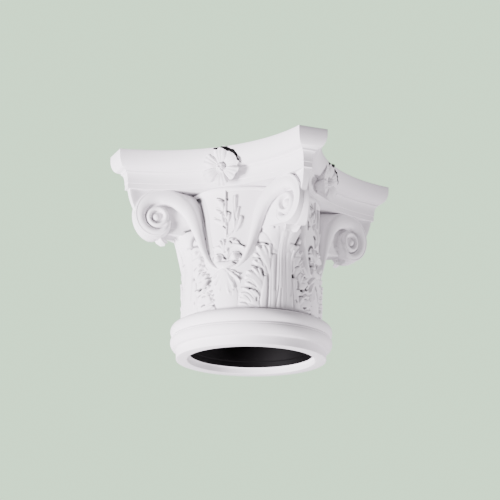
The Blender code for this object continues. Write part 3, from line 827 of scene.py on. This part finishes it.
# The last eight lines below are hardly cut and are mostly painted shade: two for the shade line
# under the bell's lip, and six for the shadow that the left stem casts on the bell beside it
PLANT_CUTS = table("""
0.5,283 0.6,266 0.8,257.5 1.5 2.6 0.75
0.7,258.5 0.8,257.5 1,256.5 1.9 3.4 0.95
-9,262 -5,261 -2.6,256.5 1.3 2.6 0.85
-3.6,257.6 -3,256.6 -2.2,255.6 1.9 3.2 0.95
-2,256 -1,252 -1.6,248 1.4 1.8 0.5
-1.2,250 -1.6,240 -3.6,235.6 1.4 1.4 0.34
-4.6,234 -3.8,235 -2.6,236 1.2 2 0.65
-10,245.4 -8,245.4 -6.5,242 1.2 1 0.15
1,236 2.4,235.4 4,232.4 1.7 3.4 0.95
-1,224.4 -0.2,223.6 0.6,221 1.2 2 0.55
0.5,221 1.9,217 1.5,211 1.3 1 0.24
-2.6,210 -1.5,208.6 -0.5,206.4 1.7 3.4 0.95
-12,228 -10.5,228.4 -8.8,225 1.1 1.6 0.4
6,262 6,244 8.6,220 1.7 1.6 0.36
6,263 7.6,264.5 9,261 1.6 1.2 0.24
9.6,243 11,244 12,241 1.1 1.6 0.4
11.6,241 10.9,234 10.1,224 1.1 1.4 0.28
12.3,226.4 14.6,227.6 15,221 1.7 2.2 0.5
15,221 14.2,212 12,204 1.6 1.2 0.24
9.2,220 9,212 7,200 1.9 1.2 0.2
3,187.4 8,191.4 11,181 1.3 2.4 0.5
11,181 13,174.6 16,173 1.4 3 0.9
3.6,183 4.5,181.6 5.4,179.4 1.5 3 0.9
-4.5,188 -2,187.6 0,186 1 1.6 0.4
-14,175 -12,175.4 -10,173.6 1 1.4 0.3
-6.4,184.6 -5.6,181 -6.4,177 1 1.2 0.16
3,170 2,163 2.2,152 1.5 2.4 0.45
-7,161 -3,161.6 -1,154.6 1.6 2.4 0.55
-1.2,154.6 -0.5,153 0.2,151.6 1.9 3.6 0.97
7.5,161.6 11,162.8 13,160.4 1.1 2.2 0.55
12.6,160.2 13.3,159 13.5,157.4 1.8 3.4 0.95
13.5,158 14,155 12.6,152.6 1.2 1.6 0.35
7.2,144.4 8.2,143.6 9.2,142.8 1.4 3 0.92
9,143 10.4,142.6 12,145 1 1.4 0.3
2.5,133.8 5,128.8 8,127.4 1 1.6 0.32
7.8,127.4 10.5,127.6 12.7,123.6 1.1 2.2 0.5
7,127 10,122.6 12.3,116.4 1 2 0.5
11.8,117.4 12.3,116.4 12.5,115 1.3 2.6 0.7
12.5,117 13,113 12.5,108 1.1 1.2 0.24
3,127 4,120 6,113 1.1 1 0.18
6.5,105 8.6,102 8,97 1.5 1.2 0.22
6,93 6.2,91 5.8,88 1.2 0.8 0.14
-1,133 0,135 1.6,129 0.9 1 0.2
0.5,271.6 18,271.6 36,271.6 1.1 0.5 0.45
-30,271.6 -15,271.6 -1,271.6 1 0.5 0.2
-31,277 -25.5,252 -21.8,225 2.5 1 0.85
-33,271 -30.5,269 -28,264 5 1 0.92
-21.8,225 -18.6,195 -15.8,165 2.2 1 0.8
-15.8,165 -13.6,148 -8.5,139.5 1.5 1 0.6
-26,262 -22,245 -19.5,215 8 0.3 0.17
-19.5,215 -16.5,185 -14.5,165 6 0.3 0.24
""")
relief.cuts(LEAF_CUTS + PLANT_CUTS)
relief.cuts(FAR_HALF_CUTS, CORNER_TURN)
# The groove all along the foot of the leaves, with painted shade for the shadow that the ring
# casts up on them
relief.cut(((-45, 62.5), (0, 62.5), (48, 62.5)), 2.4, 6, 0.75)
print("cuts", len(LEAF_CUTS) + len(FAR_HALF_CUTS) + len(PLANT_CUTS))

# %% [markdown]
# The drawing is wrapped back round the bell. A grid has one point for each point of the
# drawing, and each goes out from the bell by the height of the carving there. Towards
# its top the corner leaf leans away from the bell to make its curl. Bare ground is sunk
# a little behind the bell, so that only the carving shows, and the grid is closed with
# a back and four edges inside the wall. Each point also keeps how much shade is painted
# on it, as an attribute for the finish. A point with painted shade is kept just proud of
# the bell, so that the painted shade shows on bare ground.

# %% Wrap the drawing round the bell
# Heights between which a corner leaf leans out and where it ends, how far and steeply it
# leans, and the half width of what leans, in mm and degrees
LEAN_FROM, LEAN_TO, LEAN_END = 152, 216, 218
LEAN_MOST, LEAN_POWER, LEAN_WIDTH = 32, 1.8, 15.5
# Painted shade from which a point counts as shaded, and level below which it is bare ground
SHADE_SHOWN_FROM, BARE = 0.08, 0.35
# Levels of bare ground, of the least height of a point with painted shade and of the piece's
# back, in mm
BARE_LEVEL, MARK_LEVEL, BACK_LEVEL = -1.2, 0.3, -6


def leaning(angles, heights):
    aside = np.minimum(abs(angles - LEAF_AXIS), abs(angles - LEAF_AXIS + CORNER_TURN))
    share = np.clip((heights - LEAN_FROM) / (LEAN_TO - LEAN_FROM), 0, 1)
    narrowing = np.exp(-(aside / LEAN_WIDTH) ** 4)
    return LEAN_MOST * share ** LEAN_POWER * narrowing * (heights < LEAN_END)


def wrapped(drawing, out):
    angle = np.radians(drawing.x / ROUND)
    return np.stack([out * np.sin(angle), -out * np.cos(angle), drawing.z], axis=-1)


def relief_piece(name, drawing):
    rows, cols = drawing.level.shape
    bell = BELL * 1000
    shade_shown = drawing.tone > SHADE_SHOWN_FROM
    bare = (drawing.level < BARE) & ~shade_shown
    out = bell + np.where(bare, BARE_LEVEL, drawing.level)
    out = np.where(shade_shown, np.maximum(out, bell + MARK_LEVEL), out)
    out = out + leaning(drawing.x / ROUND, drawing.z) * ~bare
    front, back = wrapped(drawing, out), wrapped(drawing, bell + BACK_LEVEL)
    places = np.concatenate([front.reshape(-1, 3), back[0], back[-1]]) * MM
    grid = np.arange((rows + 2) * cols).reshape(rows + 2, cols)
    ring = grid[[rows, *range(rows), rows + 1]]
    after = np.roll(ring, -1, axis=0)
    faces = np.stack([ring[:, :-1], ring[:, 1:], after[:, 1:], after[:, :-1]], axis=-1)
    ends = [ring[:, 0].tolist(), ring[::-1, -1].tolist()]
    mesh = bpy.data.meshes.new(name)
    mesh.from_pydata(places.tolist(), [], faces.reshape(-1, 4).tolist() + ends)
    mesh.validate()
    # The painted shade of the cuts, handed to the finish as a point attribute
    drilled_and_shaded = mesh.attributes.new("drilled_and_shaded", "FLOAT", "POINT")
    painted_shades = np.zeros(len(mesh.vertices), dtype=np.float32)
    painted_shades[:rows * cols] = drawing.tone.ravel()
    drilled_and_shaded.data.foreach_set("value", painted_shades)
    piece = bpy.data.objects.new(name, mesh)
    bpy.context.scene.collection.objects.link(piece)
    return piece


carving = relief_piece("carved_side", relief)
repeated(carving, 70)
print("carved side", len(carving.data.polygons), "faces")

# %% [markdown]
# On the right side, away from the main light, some marks are drilled wider and carry darker
# painted shade, so that they still show where the bell turns away. They are added to the
# drawing, and it is wrapped again for that side.

# %% More drilling and painted shade on the right side
RIGHT_SIDE_CUTS = table("""
-13.6,279 -13.2,275 -12.6,271 2.8 2.5 0.95
-14.6,268 -14.4,259 -14.3,251 1.6 1.2 0.5
-6,266 -3,262 -3.6,256 2.4 2 0.6
-3.6,256 -6,250 -6.8,243 2.4 1.6 0.6
-12.4,231 -13.6,226 -12.8,219 2.8 2.5 0.85
-5,189 -9,191 -11.4,180 2.6 3 0.9
-9.2,167 -13.4,166 -13.6,158 2.8 3 0.9
-13.6,158 -12.6,153 -9.6,153 2.2 2.5 0.85
-15,121 -16,114 -17,108 2 2.5 0.75
-2.4,118 -1.4,116 -0.4,114 2.8 1.5 0.6
1,108 2.6,104 3.6,98 3 1.2 0.5
-21.6,74 -20.7,73.4 -19.6,73 1.8 2 0.6
-22.8,161 -20.6,150 -18.7,139 1.2 1.2 0.45
""")
relief.cuts(RIGHT_SIDE_CUTS)
redrilled_and_shaded = relief_piece("redrilled_and_shaded_side", relief)
smooth(redrilled_and_shaded, 70)
redrilled_and_shaded.data.transform(quarter_turn(1))
bpy.data.objects["carved_side_2"].data = redrilled_and_shaded.data
bpy.data.objects.remove(redrilled_and_shaded)
print("right side drilled again:", len(RIGHT_SIDE_CUTS), "cuts more")

# %% [markdown]
# The tip of each corner leaf curls right out under the scrolls, which a drawing on the
# bell can't give. It is a tongue of its own, with a rib down its middle, drawn out along
# the curl from the bell to its turned-down edge.

# %% Curling tips of the corner leaves
# Along the curl: distance from the axis, height and width, in mm
TIP = ((119, 172, 30), (122, 184, 34), (129, 195, 38), (138, 204, 41), (148, 210, 41),
       (157, 213, 39), (164.5, 212.5, 36), (170, 208.5, 33), (171.5, 203, 30), (170, 197.5, 26),
       (166, 194.5, 21), (162, 195.5, 15))
TIP_STEPS = 20
# Levels of the tongue's front and back, its droop at the edges, its ribs and middle rib
TIP_FRONT, TIP_BACK, TIP_DROOP, TIP_RIBS, TIP_MIDRIB = 2.6, -2.4, -5.0, 1.5, 1.2

spine = [Vector((radius, height)) for radius, height, _ in TIP]
sections = []
for i, (*_, wide) in enumerate(TIP):
    step = spine[min(i + 1, len(TIP) - 1)] - spine[max(i - 1, 0)]
    out = Vector((step.y, -step.x)).normalized()
    front, back = [], []
    for s in (2 * j / TIP_STEPS - 1 for j in range(TIP_STEPS + 1)):
        ribs = TIP_RIBS * math.cos(s * math.pi * 2.5) + TIP_MIDRIB * math.exp(-(s / 0.12) ** 2)
        droop = TIP_DROOP * s * s
        lift = TIP_FRONT + ribs * (1 - abs(s) ** 6) + droop
        for face, level in ((front, lift), (back, TIP_BACK + droop * 0.8)):
            at = spine[i] + out * level
            flat = TO_CORNER * at.x + ASIDE * s * wide / 2
            face.append(Vector((flat.x, flat.y, at.y)) * MM)
    sections.append(front + back[::-1])
tip = drawn_out("leaf_tip", sections)
repeated(tip, 60)
print("tip", [round(v / MM) for v in tip.dimensions], "mm")

# %% [markdown]
# A flower stands in the middle of each side and covers the edge of the abacus. It has
# broad petals with notched ends and fine grooves, and a round button with a pit. It is
# drawn out through rings from its middle to its rim, and back through two rings more
# that hollow the petals from behind, so that their ends stand free.

# %% Flowers
PETALS = 6
FLOWER_MIDDLE = (0.0, -0.1335, 0.3075)
FLOWER_PROUD = 0.004
FLOWER_RADIUS = 0.0335
FLOWER_RINGS, FLOWER_SPOKES = 26, 144
# Shares of the radius: the innermost ring, the button, its pit and the rings behind
CENTRE, BUTTON, PIT, BEHIND = 0.012, 0.24, 0.055, (0.93, 0.55)
# Heights of the cup, the split between petals, a groove, the button, its dome and pit
CUP, SPLIT, GROOVE, BUTTON_TOP, DOME, PIT_DEPTH = 0.0115, 0.0075, 0.0005, 0.0080, 0.0075, 0.0052
# Level of the hollow behind the petals, its rise to their ends, and the flower's lean
BACK, BACK_RISE, LEANING = -0.014, 0.011, 0.10


# The petals' ends: notched, parted, uneven, and longer on the right
def petal_reach(angle, petal, aside):
    uneven = 0.05 * math.sin(2 * angle + 0.6) + 0.03 * math.sin(5 * angle)
    uneven += 0.10 * max(0.0, math.sin(angle)) ** 2
    return 1.0 - 0.30 * aside ** 5 - 0.05 * math.exp(-((petal - 0.5) / 0.07) ** 2) + uneven


def flower_point(share, angle, behind):
    petal = (angle * PETALS / (2 * math.pi) + 0.5) % 1.0
    aside = abs(petal - 0.5) * 2
    r = FLOWER_RADIUS * share * petal_reach(angle, petal, aside)
    cup = CUP * math.sin(min(1.0, share * 1.15) * math.pi * 0.62)
    groove = GROOVE * math.cos(petal * math.pi * 8 + angle) * share ** 0.7
    out = cup - SPLIT * aside ** 6 * share + groove + LEANING * r * math.cos(angle)
    if share < BUTTON:
        dome = DOME * math.sqrt(max(0.0, 1 - (share / BUTTON) ** 2))
        out = BUTTON_TOP + dome - PIT_DEPTH * math.exp(-(share / PIT) ** 2)
    if behind:
        out = BACK + (out + BACK_RISE) * between(BEHIND[1], BEHIND[0], share)
    x, y, z = FLOWER_MIDDLE
    return Vector((x + r * math.sin(angle), y - out - FLOWER_PROUD, z + r * math.cos(angle)))


rings = [(CENTRE + (1 - CENTRE) * i / FLOWER_RINGS, False) for i in range(FLOWER_RINGS + 1)]
rings += [(share, True) for share in BEHIND]
angles = [2 * math.pi * j / FLOWER_SPOKES for j in range(FLOWER_SPOKES)]
blossom = drawn_out("flower", [[flower_point(share, angle, behind) for angle in angles]
                               for share, behind in rings])
repeated(blossom, 50)
print("flower", len(blossom.data.polygons), "faces")

# %% [markdown]
# The whole capital has one finish: white primer on a cast piece. It is matt, with the
# faintest cloud and grain. Three places have shade painted on in near black. Inside the
# socket the painted shade stands for the deep shadow of the hollow, told by the distance
# from the axis in the object's own coordinates. The painted shade of the drilled marks is
# told by the carved sides' attribute. Behind the upper petals of each flower runs a ragged
# band of painted shadow, part of a ring round the flower. The sums are written as plain
# expressions, which one small class turns into nodes.

# %% Material maths


def operator(kind, swapped=False):
    def maths(self, other=0.0):
        first, second = (other, self) if swapped else (self, other)
        return add_node(self.tree, "Math", {"operation": kind}, {0: first, 1: second})
    return maths


class Socket:
    __add__, __radd__ = operator("ADD"), operator("ADD", True)
    __sub__, __rsub__ = operator("SUBTRACT"), operator("SUBTRACT", True)
    __mul__, __rmul__ = operator("MULTIPLY"), operator("MULTIPLY", True)
    above, below, power = operator("GREATER_THAN"), operator("LESS_THAN"), operator("POWER")
    size, sign = operator("ABSOLUTE"), operator("SIGN")

    def __init__(self, tree, link):
        self.tree, self.link = tree, link

    def output(self, number):
        return Socket(self.tree, self.link.node.outputs[number])


def feed(node, sockets):
    for key, value in sockets.items():
        if isinstance(value, Socket):
            value.tree.links.new(value.link, node.inputs[key])
        else:
            node.inputs[key].default_value = value


# A node's settings are set first, and then the values or links of its sockets
def add_node(tree, kind, settings, sockets, output=0):
    node = tree.nodes.new("ShaderNode" + kind)
    for key, value in settings.items():
        setattr(node, key, value)
    feed(node, sockets)
    return Socket(tree, node.outputs[output])


print("shading helpers ready")

# %% The white finish
# The socket and its collar, painted with shade inside, lie within this radius and between these
# heights
HOLLOW_RADIUS, HOLLOW_FOOT, HOLLOW_ROOF = 0.1072, 0.0112, 0.2985
WHITE_BELOW, WHITE_ABOVE = (0.80, 0.785, 0.80, 1), (0.84, 0.825, 0.84, 1)
# Near black of all the painted shade
PAINTED_SHADE_COLOUR = (0.0010, 0.0008, 0.0010, 1)
# The painted shadow behind a flower: its inner and outer radius, how far its edges wander,
# where it ends on the way down, which way that is, and how near the axis and how high it may go
PETAL_SHADOW_INNER, PETAL_SHADOW_OUTER, PETAL_SHADOW_WANDER, PETAL_SHADOW_UPWARD = 0.0315, 0.0362, 0.014, 0.0222
PETAL_SHADOW_ASIDE, PETAL_SHADOW_UP, PETAL_SHADOW_FROM_AXIS, PETAL_SHADOW_TOP = 0.50, 0.87, 0.12, 0.3424
# Sockets of a colour Mix node: share, first and second colour, and its result
FACTOR, FIRST, SECOND, MIXED = 0, 6, 7, 2

white = bpy.data.materials.new("cast_white")
white.use_nodes = True
tree = white.node_tree
place = add_node(tree, "TexCoord", {}, {}, output=3)
x = add_node(tree, "SeparateXYZ", {}, {0: place})
y, z = x.output(1), x.output(2)


def noise(scale, detail):
    return add_node(tree, "TexNoise", {}, {"Vector": place, "Scale": scale, "Detail": detail})


def colour_mix(share, first, second):
    return add_node(tree, "Mix", {"data_type": "RGBA"},
                    {FACTOR: share, FIRST: first, SECOND: second}, output=MIXED)


from_axis = (x * x + y * y).power(0.5)
# Painted shade inside the socket, for the deep shadow in the hollow
inside = from_axis.below(HOLLOW_RADIUS) * z.above(HOLLOW_FOOT) * z.below(HOLLOW_ROOF)
# Painted shade of the cut marks, read from the carved sides' attribute
drilled_and_shaded = add_node(tree, "Attribute", {"attribute_name": "drilled_and_shaded"}, {}, output=2)
# A ragged band of painted shadow behind the upper petals of each flower, on whichever side a
# point faces
facing = y.size().above(x.size())
aside = facing * (x * (0.0 - y.sign())) + (1.0 - facing) * (y * x.sign())
above_flower = z - FLOWER_MIDDLE[2]
from_flower = (aside * aside + above_flower * above_flower).power(0.5)
upward = aside * PETAL_SHADOW_ASIDE + above_flower * PETAL_SHADOW_UP
wander = (noise(55.0, 1.0) - 0.5) * PETAL_SHADOW_WANDER
petal_shadow = (from_flower + wander).above(PETAL_SHADOW_INNER) * (from_flower - wander).below(PETAL_SHADOW_OUTER)
petal_shadow = petal_shadow * upward.above(PETAL_SHADOW_UPWARD) * from_axis.above(PETAL_SHADOW_FROM_AXIS) * z.below(PETAL_SHADOW_TOP)
cloud, grain = noise(14.0, 4.0), noise(900.0, 3.0)
bump = add_node(tree, "Bump", {}, {"Height": grain, "Strength": 0.05, "Distance": 0.0004})
cast = colour_mix(cloud, WHITE_BELOW, WHITE_ABOVE)
# The cast white, turned near black where shade is painted in the socket, the cuts and behind
# the petals
feed(tree.nodes["Principled BSDF"], {
    "Base Color": colour_mix(inside + drilled_and_shaded + petal_shadow, cast, PAINTED_SHADE_COLOUR),
    "Roughness": 0.52 + 0.14 * cloud, "Normal": bump, "Specular IOR Level": 0.12})

for piece in pieces:
    piece.data.materials.append(white)
print("finish on", len(pieces), "pieces")

# %% [markdown]
# All pieces stand for the one cast solid, so each replaces it and rides on the same body.

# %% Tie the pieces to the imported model
for piece in pieces:
    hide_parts("capital")
    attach(piece, "root")
smooth(bell, 30)
smooth(abacus, 30)
print("triangles", sum(len(p.vertices) - 2 for piece in pieces for p in piece.data.polygons))

# %% [markdown]
# The capital is seen from below, as on its column: the camera is low and a long lens
# looks up at it. Its place and turn were fitted to the ring, the mouth and the abacus.

# %% Camera
AZIMUTH, ELEVATION, ROLL = math.radians(22.395), math.radians(-16.146), math.radians(0.582)
CAMERA_PLACE = (1.1069, -2.6960, -0.6443)
LENS, SENSOR, FARTHEST = 124.07, 36, 50


def direction(azimuth, elevation):
    return Vector((math.sin(azimuth) * math.cos(elevation),
                   -math.cos(azimuth) * math.cos(elevation), math.sin(elevation)))


back = direction(AZIMUTH, ELEVATION)
level = Vector((math.cos(AZIMUTH), math.sin(AZIMUTH), 0))
upright = back.cross(level)
right = math.cos(ROLL) * level + math.sin(ROLL) * upright
up = -math.sin(ROLL) * level + math.cos(ROLL) * upright
lens = bpy.data.cameras.new("camera")
lens.lens, lens.sensor_width, lens.clip_end = LENS, SENSOR, FARTHEST
camera = bpy.data.objects.new("camera", lens)
turn = Matrix((right, up, back)).transposed().to_4x4()
camera.matrix_world = Matrix.Translation(CAMERA_PLACE) @ turn
bpy.context.scene.collection.objects.link(camera)
bpy.context.scene.camera = camera
print("camera", [round(v, 3) for v in camera.location])

# %% [markdown]
# A pale floor lies well below, under the camera. Two big soft lights stand low: the main
# one in front on the left, and a weaker one on the right and a little behind. The room
# itself adds an even, low light, and the camera sees it as a plain greenish grey.

# %% Floor
FLOOR_SIZE, FLOOR_HEIGHT = 30, -1.6
deselect_everything()
bpy.ops.mesh.primitive_plane_add(size=FLOOR_SIZE, location=(0, 0, FLOOR_HEIGHT))
floor = bpy.context.active_object
floor.name = "floor"
paint = bpy.data.materials.new("floor_paint")
paint.use_nodes = True
feed(paint.node_tree.nodes["Principled BSDF"],
     {"Base Color": (0.70, 0.70, 0.70, 1), "Roughness": 0.9})
floor.data.materials.append(paint)
print("floor", -FLOOR_HEIGHT, "m below the foot")

# %% Lights and backdrop
LIT_PLACE = Vector((0, 0, 0.2))
LIGHT_COLOUR = (1, 0.93, 1)
BACKDROP, ROOM_LIGHT, ROOM_STRENGTH = (1.145, 1.62, 1.117, 1), (1.0, 0.94, 1.0, 1), 0.52


def soft_light(name, azimuth, elevation, distance, size, power):
    lamp = bpy.data.lights.new(name, "AREA")
    lamp.shape = "DISK"
    lamp.size, lamp.energy, lamp.color = size, power, LIGHT_COLOUR
    out = direction(math.radians(azimuth), math.radians(elevation))
    holder = bpy.data.objects.new(name, lamp)
    holder.location = LIT_PLACE + out * distance
    holder.rotation_euler = out.to_track_quat("Z", "Y").to_euler()
    bpy.context.scene.collection.objects.link(holder)


soft_light("key", -34, -21, 2.6, 0.9, 300)
soft_light("side", 121, -27, 2.6, 0.5, 76)
world = bpy.data.worlds.new("studio")
bpy.context.scene.world = world
world.use_nodes = True
room = world.node_tree
seen = Socket(room, room.nodes["Background"].outputs[0])
feed(seen.link.node, {"Color": BACKDROP})
lighting = add_node(room, "Background", {}, {"Color": ROOM_LIGHT, "Strength": ROOM_STRENGTH})
camera_ray = add_node(room, "LightPath", {}, {})
blend = add_node(room, "MixShader", {}, {0: camera_ray, 1: lighting, 2: seen})
feed(room.nodes["World Output"], {0: blend})
